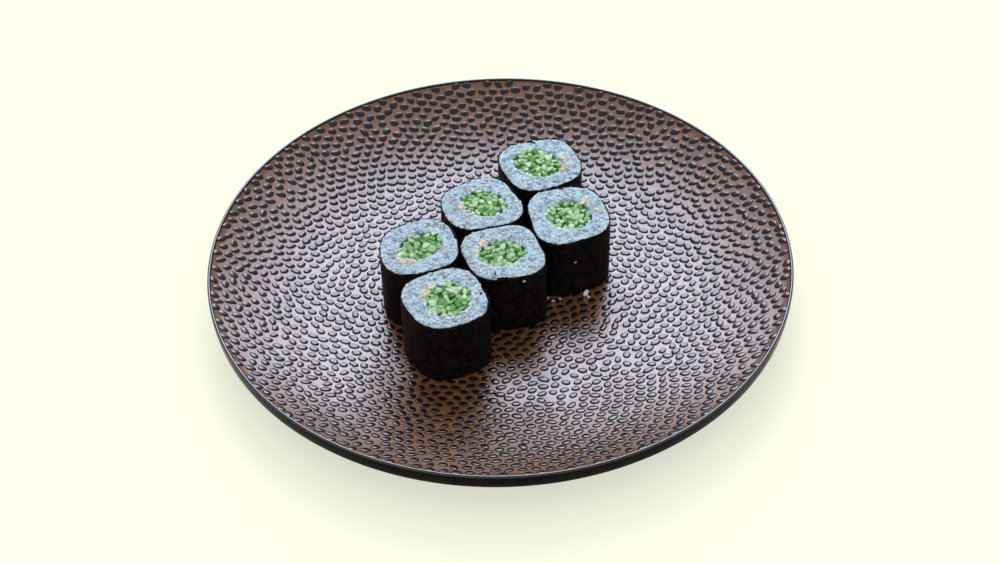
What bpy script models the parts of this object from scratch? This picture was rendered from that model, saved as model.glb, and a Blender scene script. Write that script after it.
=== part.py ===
"""Six cucumber maki rolls standing on a round stoneware plate, at real size in metres.

The plate's axis is Z and its foot ring stands on z = 0. Each roll is a sheet of nori wound
once round a ring of rice, and a bundle of cucumber strips runs through the ring's middle.
The ends that show are cut level, with grains, sesame seeds and strip ends standing proud.
"""

import math
import random
from collections import namedtuple

import bmesh
import bpy
from mathutils import Matrix, Vector

# The plate, a coupe: a flat middle that rises in one curve to a plain lip
PLATE_RADIUS = 0.105
PLATE_SEGMENTS = 80
WELL_HEIGHT = 0.006
WELL_FLAT_RADIUS = 0.057
WELL_CURVE = 1.6
WELL_RINGS = 5
LIP_HEIGHT = 0.020
LIP_WIDTH = 0.0012
LIP_DROP = 0.0005
EDGE_HEIGHT = 0.0055
EDGE_TAPER = 0.0006
UNDERSIDE_CURVE = 1.5
UNDERSIDE_RINGS = 3
FOOT_RADIUS = 0.056
FOOT_WIDTH = 0.0045
FOOT_HEIGHT = 0.0026
FOOT_CHAMFER = 0.0008
RECESS_HEIGHT = 0.0018

# The rolls
GAP = 0.0003
ROLL_FLOOR = WELL_HEIGHT + GAP
ROLL_HEIGHT = 0.025
ROLL_TOP = ROLL_FLOOR + ROLL_HEIGHT
NORI_THICKNESS = 0.0004
NORI_HEIGHT = ROLL_HEIGHT - 0.0004
NORI_OVERLAP = 30
NORI_RISE = 25
NORI_PLY_GAP = 0.00015
NORI_STEP = 9

# What shows at the cut ends
RICE_STEPS = 32
RICE_CORE_DROP = 0.0008
GRAIN_LENGTH = 0.0052
GRAIN_WIDTH = 0.0022
GRAINS = 26
GRAIN_SPACING = 0.0017
GRAIN_DRAWS = 4000
GRAIN_MARGIN = 0.6 * GRAIN_WIDTH
GRAIN_SIZES = (0.9, 1.1)
GRAIN_STANDS = (-0.15 * GRAIN_WIDTH, 0.1 * GRAIN_WIDTH)
GRAIN_TILT = 6
SEED_LENGTH = 0.0030
SEED_WIDTH = 0.0017
SEED_THICKNESS = 0.0010
SEEDS = 3
SEED_SPREAD = 24
SEED_MARGIN = 0.75 * SEED_LENGTH
SEED_STANDS = (0.1 * SEED_THICKNESS, 0.4 * SEED_THICKNESS)
STRIP_SIDE = 0.0019
STRIP_PITCH = 0.0025
STRIP_SHAKE = 0.12
STRIP_MARGIN = 0.72 * STRIP_SIDE
STRIP_STANDS = (-0.2 * STRIP_SIDE, 0.15 * STRIP_SIDE)
GRID_REACH = 1.5
FILLING_STEPS = 20
FILLING_CORE_DROP = 0.0010
FLAT_ANGLE = math.radians(0.5)

# One roll as seen from above. Lengths are in metres and directions in degrees round from +X.
# radius is the mean radius outside the nori. oval, egg and square are how far its outline
# swells twice, three times and four times a turn, each with the direction of one swelling.
# seam is where the nori's outer end lies, and the filling has a place and outline of its own.
Roll = namedtuple("Roll", "name place radius oval egg square seam filling seeds_at")
Filling = namedtuple("Filling", "offset radius oval")
ROLLS = (
    Roll(
        "back_right", place=(0.0158, 0.0368), radius=0.0152,
        oval=(0.0002, 10), egg=(0.0002, 30), square=(0.0008, -25), seam=108,
        filling=Filling((-0.0008, 0.0007), radius=0.0087, oval=(0.0009, -27)), seeds_at=5,
    ),
    Roll(
        "back_left", place=(-0.0061, 0.0150), radius=0.0146,
        oval=(0.0003, 10), egg=(0.0006, -35), square=(0.0008, -25), seam=65,
        filling=Filling((0.0009, 0.0007), radius=0.0080, oval=(0.0008, -28)), seeds_at=-150,
    ),
    Roll(
        "right", place=(0.0248, 0.0081), radius=0.0154,
        oval=(0.0006, -90), egg=(0.0004, 0), square=(0.0008, -30), seam=105,
        filling=Filling((0.0003, 0.0000), radius=0.0084, oval=(0.0003, -40)), seeds_at=40,
    ),
    Roll(
        "left", place=(-0.0284, -0.0072), radius=0.0145,
        oval=(0.0008, 50), egg=(0.0003, -35), square=(0.0007, -30), seam=56,
        filling=Filling((0.0002, 0.0006), radius=0.0077, oval=(0.0010, 37)), seeds_at=-125,
    ),
    Roll(
        "middle", place=(0.0012, -0.0112), radius=0.0147,
        oval=(0.0004, -25), egg=(0.0002, -50), square=(0.0010, -30), seam=-98,
        filling=Filling((-0.0003, -0.0002), radius=0.0079, oval=(0.0010, 10)), seeds_at=157,
    ),
    Roll(
        "front", place=(-0.0190, -0.0336), radius=0.0149,
        oval=(0.0002, -25), egg=(0.0002, -55), square=(0.0007, -20), seam=16,
        filling=Filling((0.0010, -0.0005), radius=0.0085, oval=(0.0004, 69)), seeds_at=160,
    ),
)


def material(name, colour, roughness, metallic=0.0):
    """A Principled material of one colour, given as red, green and blue from 0 to 1."""
    made = bpy.data.materials.new(name)
    made.use_nodes = True
    shader = made.node_tree.nodes["Principled BSDF"]
    shader.inputs["Base Color"].default_value = (*colour, 1.0)
    shader.inputs["Roughness"].default_value = roughness
    shader.inputs["Metallic"].default_value = metallic
    return made


def finish(bm, name, surface, smooth_below=None):
    """Turns a bmesh into a named object with its material, facing outwards."""
    bmesh.ops.recalc_face_normals(bm, faces=bm.faces[:])
    mesh = bpy.data.meshes.new(name)
    bm.to_mesh(mesh)
    bm.free()
    mesh.materials.append(surface)
    if smooth_below is not None:
        mesh.shade_smooth()
        mesh.set_sharp_from_angle(angle=math.radians(smooth_below))
    made = bpy.data.objects.new(name, mesh)
    bpy.context.scene.collection.objects.link(made)
    return made


def smooth_step(value):
    """0 below 0, 1 above 1, and an S-curve between."""
    value = min(1.0, max(0.0, value))
    return value * value * (3.0 - 2.0 * value)


def swelling(amount_and_direction, times, angle):
    """How far an outline swells at an angle, when it does so `times` times a turn."""
    amount, direction = amount_and_direction
    return amount * math.cos(times * (angle - math.radians(direction)))


def well_height(radius):
    """Height of the plate's upper face."""
    lip_inside = PLATE_RADIUS - LIP_WIDTH
    along = max(0.0, radius - WELL_FLAT_RADIUS) / (lip_inside - WELL_FLAT_RADIUS)
    return WELL_HEIGHT + (LIP_HEIGHT - LIP_DROP - WELL_HEIGHT) * along**WELL_CURVE


def underside_height(radius):
    """Height of the plate's lower face outside its foot ring."""
    edge_foot_radius = PLATE_RADIUS - EDGE_TAPER
    along = (radius - FOOT_RADIUS) / (edge_foot_radius - FOOT_RADIUS)
    return FOOT_HEIGHT + (LIP_HEIGHT - EDGE_HEIGHT - FOOT_HEIGHT) * along**UNDERSIDE_CURVE


def spread(first, last, count):
    """`count` values from first to last, with both ends."""
    return [first + (last - first) * step / (count - 1) for step in range(count)]


def plate_profile():
    """Radius and height of the plate's section, from the middle of the well round to the foot."""
    lip_inside = PLATE_RADIUS - LIP_WIDTH
    crest = PLATE_RADIUS - LIP_WIDTH / 2
    section = [(0.0, WELL_HEIGHT)]
    rising = spread(WELL_FLAT_RADIUS, lip_inside, WELL_RINGS)
    section += [(radius, well_height(radius)) for radius in rising]
    section += [
        (crest, LIP_HEIGHT),
        (PLATE_RADIUS, LIP_HEIGHT - LIP_DROP),
        (PLATE_RADIUS, LIP_HEIGHT - EDGE_HEIGHT / 2),
    ]
    under = spread(PLATE_RADIUS - EDGE_TAPER, FOOT_RADIUS, UNDERSIDE_RINGS + 1)
    section += [(radius, underside_height(radius)) for radius in under]
    foot_inside = FOOT_RADIUS - FOOT_WIDTH
    section += [
        (FOOT_RADIUS, FOOT_CHAMFER),
        (FOOT_RADIUS - FOOT_CHAMFER, 0.0),
        (foot_inside + FOOT_CHAMFER, 0.0),
        (foot_inside, FOOT_CHAMFER),
        (foot_inside - FOOT_CHAMFER, RECESS_HEIGHT),
        (0.0, RECESS_HEIGHT),
    ]
    return section


def make_plate(surface):
    """The plate's section, spun round Z."""
    bm = bmesh.new()
    points = [bm.verts.new((radius, 0.0, height)) for radius, height in plate_profile()]
    edges = [bm.edges.new(pair) for pair in zip(points, points[1:])]
    bmesh.ops.spin(
        bm, geom=points + edges, cent=(0, 0, 0), axis=(0, 0, 1),
        angle=math.tau, steps=PLATE_SEGMENTS, use_merge=True,
    )
    bmesh.ops.remove_doubles(bm, verts=bm.verts[:], dist=1e-6)
    return finish(bm, "plate", surface, smooth_below=40)


def roll_radius(roll, angle):
    """From a roll's middle to the outside of its nori."""
    return (
        roll.radius
        + swelling(roll.oval, 2, angle)
        + swelling(roll.egg, 3, angle)
        + swelling(roll.square, 4, angle)
    )


def nori_start(roll):
    """Direction of the nori's inner end, in degrees: it lies under the outer end."""
    return roll.seam - NORI_OVERLAP


def nori_tuck(turn):
    """How far the sheet lies in from the roll's outline, `turn` degrees on from its inner end."""
    rising = smooth_step((turn - NORI_OVERLAP) / NORI_RISE)
    return (NORI_THICKNESS + NORI_PLY_GAP) * (1.0 - rising)


def rice_radius(roll, angle):
    """From a roll's middle to the outside of its rice, clear of both plies of the nori."""
    turn = (math.degrees(angle) - nori_start(roll)) % 360.0
    before_the_end = smooth_step((turn - 360.0 + 2 * NORI_STEP) / NORI_STEP)
    tuck = max(nori_tuck(turn), nori_tuck(0.0) * before_the_end)
    return roll_radius(roll, angle) - NORI_THICKNESS - GAP - tuck


def filling_point(roll, angle, outwards=0.0):
    """A point on the filling's outline, or so far outside it, from the roll's middle."""
    filling = roll.filling
    distance = filling.radius + swelling(filling.oval, 2, angle) + outwards
    return Vector((
        filling.offset[0] + distance * math.cos(angle),
        filling.offset[1] + distance * math.sin(angle),
    ))


def in_filling(roll, point, outwards):
    """Whether a point, from the roll's middle, is inside the filling's outline moved outwards."""
    from_middle = point - Vector(roll.filling.offset)
    angle = math.atan2(from_middle.y, from_middle.x)
    limit = filling_point(roll, angle, outwards) - Vector(roll.filling.offset)
    return from_middle.length < limit.length


def make_nori(roll, surface):
    """The sheet, from its inner end once round and on over itself, raised to its height."""
    bm = bmesh.new()
    middle = Vector((*roll.place, ROLL_FLOOR))
    sides = []
    steps = round((360 + NORI_OVERLAP) / NORI_STEP)
    for turn in spread(0.0, 360.0 + NORI_OVERLAP, steps + 1):
        angle = math.radians(nori_start(roll) + turn)
        outside = roll_radius(roll, angle) - nori_tuck(turn)
        way = Vector((math.cos(angle), math.sin(angle), 0.0))
        sides.append([
            bm.verts.new(middle + way * outside),
            bm.verts.new(middle + way * (outside - NORI_THICKNESS)),
        ])
    base = [bm.faces.new((a[0], b[0], b[1], a[1])) for a, b in zip(sides, sides[1:])]
    raised = bmesh.ops.extrude_face_region(bm, geom=base)["geom"]
    top = [item for item in raised if isinstance(item, bmesh.types.BMVert)]
    bmesh.ops.translate(bm, vec=(0, 0, NORI_HEIGHT), verts=top)
    return finish(bm, f"nori_{roll.name}", surface, smooth_below=40)


def raise_outlines(outlines, middle, height):
    """A block whose plan lies between closed outlines, points from the middle, raised to a height."""
    bm = bmesh.new()
    rims = []
    for points in outlines:
        corners = [bm.verts.new(middle + point.to_3d()) for point in points]
        rims += [bm.edges.new(pair) for pair in zip(corners, corners[1:] + corners[:1])]
    filled = bmesh.ops.triangle_fill(bm, edges=rims, use_beauty=True)["geom"]
    base = [item for item in filled if isinstance(item, bmesh.types.BMFace)]
    raised = bmesh.ops.extrude_face_region(bm, geom=base)["geom"]
    top = [item for item in raised if isinstance(item, bmesh.types.BMVert)]
    bmesh.ops.translate(bm, vec=(0, 0, height), verts=top)
    return bm


def round_the_turn(steps):
    """The angles of so many equal steps round one turn."""
    return [math.tau * step / steps for step in range(steps)]


def keep_largest_shell(bm):
    """Drops loose scraps, and fills hollows that a union sealed."""
    left = set(bm.verts)
    shells = []
    while left:
        shell = {left.pop()}
        growing = list(shell)
        while growing:
            edges = growing.pop().link_edges
            found = {vert for edge in edges for vert in edge.verts} - shell
            shell |= found
            growing += found
        left -= shell
        shells.append(shell)
    shells.sort(key=len)
    for shell in shells[:-1]:
        bmesh.ops.delete(bm, geom=list(shell), context="VERTS")


def fuse(core, pieces):
    """Joins the pieces to the core with one Boolean union, applies it and removes the pieces.

    The flat faces that the union splits are made whole again.
    """
    together = bpy.data.collections.new(f"{core.name}_pieces")
    bpy.context.scene.collection.children.link(together)
    for piece in pieces:
        bpy.context.scene.collection.objects.unlink(piece)
        together.objects.link(piece)
    union = core.modifiers.new("fused", "BOOLEAN")
    union.operation = "UNION"
    union.operand_type = "COLLECTION"
    union.collection = together
    union.solver = "EXACT"
    bpy.context.view_layer.update()
    fused = bpy.data.meshes.new_from_object(core.evaluated_get(bpy.context.evaluated_depsgraph_get()))
    core.modifiers.remove(union)
    bm = bmesh.new()
    bm.from_mesh(fused)
    keep_largest_shell(bm)
    bmesh.ops.dissolve_limit(bm, angle_limit=FLAT_ANGLE, verts=bm.verts[:], edges=bm.edges[:])
    bm.to_mesh(fused)
    bm.free()
    core.data = fused
    fused.name = core.name
    for piece in pieces:
        bpy.data.objects.remove(piece)
    bpy.data.collections.remove(together)


def lozenge(name, surface, place, size, turn, tilt):
    """A grain or a seed: six-sided, pointed at both ends, lying along its own X."""
    bm = bmesh.new()
    bmesh.ops.create_uvsphere(bm, u_segments=6, v_segments=3, radius=0.5)
    lay = Matrix.Rotation(math.radians(90), 4, "Y")
    grow = Matrix.Diagonal((*size, 1.0))
    way = Matrix.Rotation(turn, 4, "Z") @ Matrix.Rotation(tilt, 4, "Y")
    bmesh.ops.transform(bm, matrix=Matrix.Translation(place) @ way @ grow @ lay, verts=bm.verts[:])
    return finish(bm, name, surface)


def fits_on_rice(roll, ends, margin):
    """Whether both ends of a grain, each with its margin, lie on the ring of rice."""
    for end in ends:
        angle = math.atan2(end.y, end.x)
        if end.length > rice_radius(roll, angle) - margin:
            return False
        if in_filling(roll, end, GAP + margin):
            return False
    return True


def apart(ends, others, least):
    """Whether a grain's axis keeps the least distance from the axes of those laid before it."""
    own = [ends[0].lerp(ends[1], part) for part in (0.0, 0.5, 1.0)]
    for other in others:
        theirs = [other[0].lerp(other[1], part) for part in (0.0, 0.25, 0.5, 0.75, 1.0)]
        if min((a - b).length for a in own for b in theirs) < least:
            return False
    return True


def lay_out_grains(roll, draw):
    """The two ends of each seed, and then of each grain, on the roll's cut end."""
    seeds = []
    for step in range(SEEDS):
        angle = math.radians(roll.seeds_at + SEED_SPREAD * (step - (SEEDS - 1) / 2))
        middle = filling_point(roll, angle, GAP + SEED_MARGIN)
        turn = draw.uniform(0.0, math.pi)
        reach = Vector((math.cos(turn), math.sin(turn))) * (SEED_LENGTH - SEED_WIDTH) / 2
        seeds.append((middle - reach, middle + reach))
    grains = []
    reach_length = (GRAIN_LENGTH - GRAIN_WIDTH) / 2
    for _ in range(GRAIN_DRAWS):
        angle = draw.uniform(0.0, math.tau)
        middle = Vector((math.cos(angle), math.sin(angle))) * roll.radius * math.sqrt(draw.random())
        turn = draw.uniform(0.0, math.pi)
        reach = Vector((math.cos(turn), math.sin(turn))) * reach_length
        ends = (middle - reach, middle + reach)
        if fits_on_rice(roll, ends, GRAIN_MARGIN) and apart(ends, seeds + grains, GRAIN_SPACING):
            grains.append(ends)
        if len(grains) == GRAINS:
            break
    return seeds, grains


def lozenge_along(name, surface, roll, ends, height, size, tilt):
    """A grain or seed laid along its two ends."""
    along = ends[1] - ends[0]
    middle = (ends[0] + ends[1]) / 2 + Vector(roll.place)
    turn = math.atan2(along.y, along.x)
    return lozenge(name, surface, (middle.x, middle.y, height), size, turn, tilt)


def make_rice(roll, surface, draw):
    """The ring of rice, with the grains and seeds of its cut end fused on."""
    outer = []
    for angle in round_the_turn(RICE_STEPS):
        outer.append(Vector((math.cos(angle), math.sin(angle))) * rice_radius(roll, angle))
    inner = [filling_point(roll, angle, GAP) for angle in round_the_turn(FILLING_STEPS)]
    core_top = ROLL_TOP - RICE_CORE_DROP
    bm = raise_outlines([outer, inner], Vector((*roll.place, ROLL_FLOOR)), core_top - ROLL_FLOOR)
    core = finish(bm, f"rice_{roll.name}", surface, smooth_below=40)
    seeds, grains = lay_out_grains(roll, draw)
    pieces = []
    for ends in grains:
        length = GRAIN_LENGTH * draw.uniform(*GRAIN_SIZES)
        width = GRAIN_WIDTH * draw.uniform(*GRAIN_SIZES)
        height = core_top + draw.uniform(*GRAIN_STANDS)
        tilt = math.radians(draw.uniform(-GRAIN_TILT, GRAIN_TILT))
        size = (length, width, width)
        pieces.append(lozenge_along("grain", surface, roll, ends, height, size, tilt))
    for ends in seeds:
        height = core_top + draw.uniform(*SEED_STANDS)
        size = (SEED_LENGTH, SEED_WIDTH, SEED_THICKNESS)
        pieces.append(lozenge_along("seed", surface, roll, ends, height, size, 0.0))
    fuse(core, pieces)
    return core


def make_cucumber(roll, surface, draw):
    """The bundle of strips: a core with the strips' square ends standing out of it."""
    outline = [filling_point(roll, angle) for angle in round_the_turn(FILLING_STEPS)]
    core_top = ROLL_TOP - FILLING_CORE_DROP
    bm = raise_outlines([outline], Vector((*roll.place, ROLL_FLOOR)), core_top - ROLL_FLOOR)
    core = finish(bm, f"cucumber_{roll.name}", surface, smooth_below=40)
    slant = Matrix.Rotation(draw.uniform(0.0, math.pi / 2), 2)
    reach = math.ceil(roll.filling.radius * GRID_REACH / STRIP_PITCH)
    pieces = []
    for column in range(-reach, reach + 1):
        for row in range(-reach, reach + 1):
            shaken = Vector([draw.uniform(-STRIP_SHAKE, STRIP_SHAKE) for _ in range(2)])
            on_grid = Vector((column + 0.5 * (row % 2), row)) + shaken
            middle = slant @ on_grid * STRIP_PITCH + Vector(roll.filling.offset)
            if not in_filling(roll, middle, -STRIP_MARGIN):
                continue
            top = ROLL_TOP + draw.uniform(*STRIP_STANDS)
            foot = core_top - STRIP_SIDE
            at = (middle + Vector(roll.place)).to_3d() + Vector((0, 0, (top + foot) / 2))
            strip = bmesh.new()
            size = Matrix.Diagonal((STRIP_SIDE, STRIP_SIDE, top - foot, 1.0))
            turn = Matrix.Rotation(draw.uniform(0.0, math.pi), 4, "Z")
            bmesh.ops.create_cube(strip, size=1.0, matrix=Matrix.Translation(at) @ turn @ size)
            pieces.append(finish(strip, "strip", surface))
    fuse(core, pieces)
    return core


def main():
    for old in list(bpy.data.objects):
        bpy.data.objects.remove(old)
    glaze = material("brown_glazed_stoneware", (0.10, 0.045, 0.018), roughness=0.3)
    nori = material("nori", (0.006, 0.008, 0.005), roughness=0.5)
    rice = material("sushi_rice", (0.62, 0.68, 0.72), roughness=0.45)
    cucumber = material("cucumber", (0.28, 0.44, 0.12), roughness=0.4)
    make_plate(glaze)
    for number, roll in enumerate(ROLLS):
        draw = random.Random(number + 1)
        make_nori(roll, nori)
        make_rice(roll, rice, draw)
        make_cucumber(roll, cucumber, draw)


main()
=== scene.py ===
"""Six cucumber maki rolls standing on a round stoneware plate with a pebbled glaze.

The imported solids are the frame. Each operator below makes one piece, or one group of like
pieces, round them, and the last one makes the stage. All lengths are in metres.
"""

import math
from collections import namedtuple

import bmesh
import bpy
import numpy as np
from mathutils import Matrix, Vector, noise


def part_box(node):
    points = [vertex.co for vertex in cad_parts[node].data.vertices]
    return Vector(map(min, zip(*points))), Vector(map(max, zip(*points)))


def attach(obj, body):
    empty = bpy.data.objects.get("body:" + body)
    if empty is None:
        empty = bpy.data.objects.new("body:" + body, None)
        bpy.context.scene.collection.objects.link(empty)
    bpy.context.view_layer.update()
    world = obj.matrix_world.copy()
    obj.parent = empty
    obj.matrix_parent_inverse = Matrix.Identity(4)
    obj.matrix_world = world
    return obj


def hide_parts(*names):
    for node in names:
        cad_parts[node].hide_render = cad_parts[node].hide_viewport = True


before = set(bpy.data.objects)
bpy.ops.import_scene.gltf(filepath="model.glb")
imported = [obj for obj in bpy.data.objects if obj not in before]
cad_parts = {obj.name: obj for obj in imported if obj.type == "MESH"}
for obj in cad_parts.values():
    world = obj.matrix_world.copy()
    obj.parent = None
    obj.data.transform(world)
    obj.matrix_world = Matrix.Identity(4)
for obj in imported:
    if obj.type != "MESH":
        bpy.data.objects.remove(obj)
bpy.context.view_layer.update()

bl_info = {
    "name": "Cucumber maki on a pebbled plate",
    "version": (1, 0, 0),
    "blender": (4, 5, 0),
    "location": "3D View > Sidebar > Maki",
    "description": "Dresses six maki rolls and their glazed plate, piece by piece",
    "category": "Add Mesh",
}

MM = 0.001

# The plate, from its solid's box and the same section as the solid's
PLATE_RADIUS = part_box("plate")[1].x
LIP_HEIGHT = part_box("plate")[1].z
WELL_HEIGHT = 6.0 * MM
WELL_FLAT_RADIUS = 57.0 * MM
WELL_CURVE = 1.6
LIP_WIDTH = 1.2 * MM
LIP_DROP = 0.5 * MM
LIP_INSIDE = PLATE_RADIUS - LIP_WIDTH
EDGE_HEIGHT = 5.5 * MM
EDGE_TAPER = 0.6 * MM
EDGE_PULL = 0.6 * MM
UNDERSIDE_CURVE = 1.5
FOOT_RADIUS = 56.0 * MM
FOOT_WIDTH = 4.5 * MM
FOOT_HEIGHT = 2.6 * MM
FOOT_FILLET = 0.9 * MM
SEAT_HEIGHT = 0.15 * MM
RECESS_HEIGHT = 1.8 * MM

# The rolls, from a sheet's box. The nori runs on over its own inner end for so many degrees,
# and takes so many more to come down onto the rice.
ROLL_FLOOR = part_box("nori_front")[0].z
ROLL_HEIGHT = 25.0 * MM
ROLL_TOP = ROLL_FLOOR + ROLL_HEIGHT
NORI_THICKNESS = 0.4 * MM
NORI_OVERLAP = 30.0
NORI_RISE = 25.0
NORI_PLY_GAP = 0.15 * MM
RICE_CLEARANCE = 0.05 * MM

# One roll as seen from above. Directions are in degrees round from +X. radius is the mean
# radius outside the nori. oval, egg and square are how far its outline swells twice, three
# times and four times a turn, each with the direction of one swelling. seam is where the
# nori's outer end lies, and dive is how far its inner end runs into the rice.
Roll = namedtuple("Roll", "name place radius oval egg square seam dive filling seeds_at")
Filling = namedtuple("Filling", "offset radius oval")
ROLLS = (
    Roll(
        "back_right", place=(0.0158, 0.0368), radius=0.0152,
        oval=(0.0002, 10), egg=(0.0002, 30), square=(0.0008, -25), seam=108, dive=0.0018,
        filling=Filling((-0.0008, 0.0007), radius=0.0087, oval=(0.0009, -27)), seeds_at=-8,
    ),
    Roll(
        "back_left", place=(-0.0061, 0.0150), radius=0.0146,
        oval=(0.0003, 10), egg=(0.0006, -35), square=(0.0008, -25), seam=65, dive=0.0010,
        filling=Filling((0.0009, 0.0007), radius=0.0080, oval=(0.0008, -28)), seeds_at=-145,
    ),
    Roll(
        "right", place=(0.0248, 0.0081), radius=0.0154,
        oval=(0.0006, -90), egg=(0.0004, 0), square=(0.0008, -30), seam=105, dive=0.0014,
        filling=Filling((0.0003, 0.0000), radius=0.0084, oval=(0.0003, -40)), seeds_at=33,
    ),
    Roll(
        "left", place=(-0.0284, -0.0072), radius=0.0145,
        oval=(0.0008, 50), egg=(0.0003, -35), square=(0.0007, -30), seam=56, dive=0.0025,
        filling=Filling((0.0002, 0.0006), radius=0.0077, oval=(0.0010, 37)), seeds_at=-124,
    ),
    Roll(
        "middle", place=(0.0012, -0.0112), radius=0.0147,
        oval=(0.0004, -25), egg=(0.0002, -50), square=(0.0010, -30), seam=-98, dive=0.0042,
        filling=Filling((-0.0003, -0.0002), radius=0.0079, oval=(0.0010, 10)), seeds_at=157,
    ),
    Roll(
        "front", place=(-0.0190, -0.0336), radius=0.0149,
        oval=(0.0002, -25), egg=(0.0002, -55), square=(0.0007, -20), seam=16, dive=0.0022,
        filling=Filling((0.0010, -0.0005), radius=0.0085, oval=(0.0004, 69)), seeds_at=148,
    ),
)

GOLDEN_ANGLE = math.pi * (3.0 - math.sqrt(5.0))
FLOOR_RADIUS = 4.0

# Real glaze has an IOR of about 1.5. The first two are raised to match the glare on the plate.
POOLED_GLAZE_IOR = 2.15
BROKEN_GLAZE_IOR = 1.85
PLAIN_GLAZE_IOR = 1.5


def linear(sixteen):
    """Linear red, green and blue of an sRGB hex value."""
    channels = [int(sixteen[at:at + 2], 16) / 255.0 for at in (0, 2, 4)]
    return tuple(c / 12.92 if c <= 0.04045 else ((c + 0.055) / 1.055) ** 2.4 for c in channels)


def colour_property(name, description, sixteen):
    """A colour that a user can change, given as an sRGB hex value."""
    return bpy.props.FloatVectorProperty(
        name=name, description=description, subtype="COLOR", size=3,
        min=0.0, max=1.0, default=linear(sixteen),
    )


def length_property(name, description, length):
    """A length that a user can change, in metres."""
    return bpy.props.FloatProperty(
        name=name, description=description, unit="LENGTH", precision=5, min=0.0, default=length,
    )


class PlateLooks(bpy.types.PropertyGroup):
    """Sizes and glaze colours of the plate."""

    pebbles: bpy.props.IntProperty(
        name="Pebbles", description="How many raised pebbles cover the well", default=2500, min=1,
    )
    pebble_longest: length_property(
        "Longest pebble", "Half the length of the longest pebble", 2.3 * MM)
    pebble_shortest: length_property(
        "Shortest pebble", "Half the length of the shortest pebble", 1.5 * MM)
    pebble_rise: length_property(
        "Pebble height", "How far a pebble stands over the glaze round it", 0.45 * MM)
    honey: colour_property("Honey glaze", "Glaze that pooled between the pebbles", "7a4a1e")
    honey_deep: colour_property("Deep honey glaze", "The same glaze where it is thicker", "66401e")
    chocolate: colour_property("Chocolate glaze", "Glaze that broke dark over the pebbles", "1d0d08")
    lip: colour_property("Lip glaze", "Glaze of the lip and of the outside", "0b080a")
    clay: colour_property("Bare clay", "Unglazed clay under the foot", "9a8570")
    clay_grit: colour_property("Clay grit", "Dark grit in the bare clay", "6f5f4e")


class RollLooks(bpy.types.PropertyGroup):
    """Sizes and colours of what the rolls are made of."""

    grains: bpy.props.IntProperty(
        name="Grains", description="Rice grains that show on each cut end", default=220, min=1,
    )
    grain_length: length_property("Grain length", "Length of a cooked grain of rice", 4.2 * MM)
    grain_width: length_property("Grain width", "Width of a cooked grain of rice", 1.9 * MM)
    strip_pitch: length_property(
        "Strip spacing", "From one cucumber strip to the next", 2.2 * MM)
    nori: colour_property("Nori", "Roasted seaweed", "060707")
    nori_brown: colour_property("Thin nori", "Seaweed where the sheet is thin", "24160e")
    # Painted highlights: pale blue-grey glints painted into the seaweed's colour, standing in for the
    # sheen of its pits
    nori_painted_glint: colour_property("Nori fleck", "Pale flecks in the seaweed", "252c2e")
    rice: colour_property("Rice", "Cooked and dressed rice", "adc9d1")
    rice_bright: colour_property("Bright rice", "The whitest grains", "d0e5ea")
    flesh_pale: colour_property("Pale cucumber", "Flesh from near the seeds", "cde3b8")
    flesh_green: colour_property("Green cucumber", "Flesh from near the skin", "6c9f52")
    # The same dark green is also painted shade, filling the gaps between the cucumber strips
    skin: colour_property("Cucumber skin", "The skin's dark green", "2f6c30")
    sesame: colour_property("Sesame", "Hulled sesame seeds", "e6dcb6")
    sesame_toasted: colour_property("Toasted sesame", "The seeds with the most colour", "dcae78")


class StageLooks(bpy.types.PropertyGroup):
    """Floor, light and camera."""

    floor: colour_property("Floor", "What the camera sees past the floor", "fffff2")
    paper: colour_property("Paper", "The floor's pale paper", "aeac88")
    paper_fleck: colour_property("Paper fleck", "The paper's faint mottle", "acaa86")
    window_strength: bpy.props.FloatProperty(
        name="Window light", description="Power of the broad light behind the plate", subtype="POWER",
        default=58.0, min=0.0,
    )
    overhead_strength: bpy.props.FloatProperty(
        name="Overhead light", description="Power of the light overhead", subtype="POWER",
        default=27.5, min=0.0,
    )
    surround_colour: colour_property("Surround colour", "Tint of the room's own light", "e4eaff")
    surround: bpy.props.FloatProperty(
        name="Surround", description="Brightness of the room's own light", default=0.30, min=0.0,
    )
    camera_lens: bpy.props.FloatProperty(
        name="Lens", description="Focal length in millimetres", default=65.0, min=1.0,
    )
    camera_pitch: bpy.props.FloatProperty(
        name="Camera pitch", description="How far the camera looks down", subtype="ANGLE",
        default=math.radians(43.425),
    )
    camera_roll: bpy.props.FloatProperty(
        name="Camera roll", description="How far the camera leans", subtype="ANGLE",
        default=math.radians(-1.4985),
    )
    camera_distance: length_property(
        "Camera distance", "From the camera to the point that it looks at", 0.6689)
    camera_target: length_property(
        "Camera target", "How far behind the plate's middle the camera looks", 0.00679)


# Shapes


def smooth_step(value):
    """0 below 0, 1 above 1, and an S-curve between."""
    value = np.clip(value, 0.0, 1.0)
    return value * value * (3.0 - 2.0 * value)


def spread(first, last, count):
    """`count` values from first to last, with both ends."""
    return [first + (last - first) * step / (count - 1) for step in range(count)]


def arc(middle, radius, first, last, steps):
    """Points on an arc, from the first direction to the last, in degrees."""
    turns = [math.radians(turn) for turn in spread(first, last, steps)]
    return [(middle[0] + radius * math.cos(t), middle[1] + radius * math.sin(t)) for t in turns]


def turned(section, steps, closed=False):
    """A section of radius and height spun once round Z, closed at its seam and poles."""
    bm = bmesh.new()
    points = [bm.verts.new((radius, 0.0, height)) for radius, height in section]
    followers = points[1:] + points[:1] if closed else points[1:]
    edges = [bm.edges.new(pair) for pair in zip(points, followers)]
    bmesh.ops.spin(
        bm, geom=points + edges, cent=(0, 0, 0), axis=(0, 0, 1),
        angle=math.tau, steps=steps, use_merge=True,
    )
    bmesh.ops.remove_doubles(bm, verts=bm.verts[:], dist=1e-7)
    bmesh.ops.recalc_face_normals(bm, faces=bm.faces[:])
    return bm


def mesh_from(bm, name):
    """The bmesh as a mesh of its own."""
    mesh = bpy.data.meshes.new(name)
    bm.to_mesh(mesh)
    bm.free()
    return mesh


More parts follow.
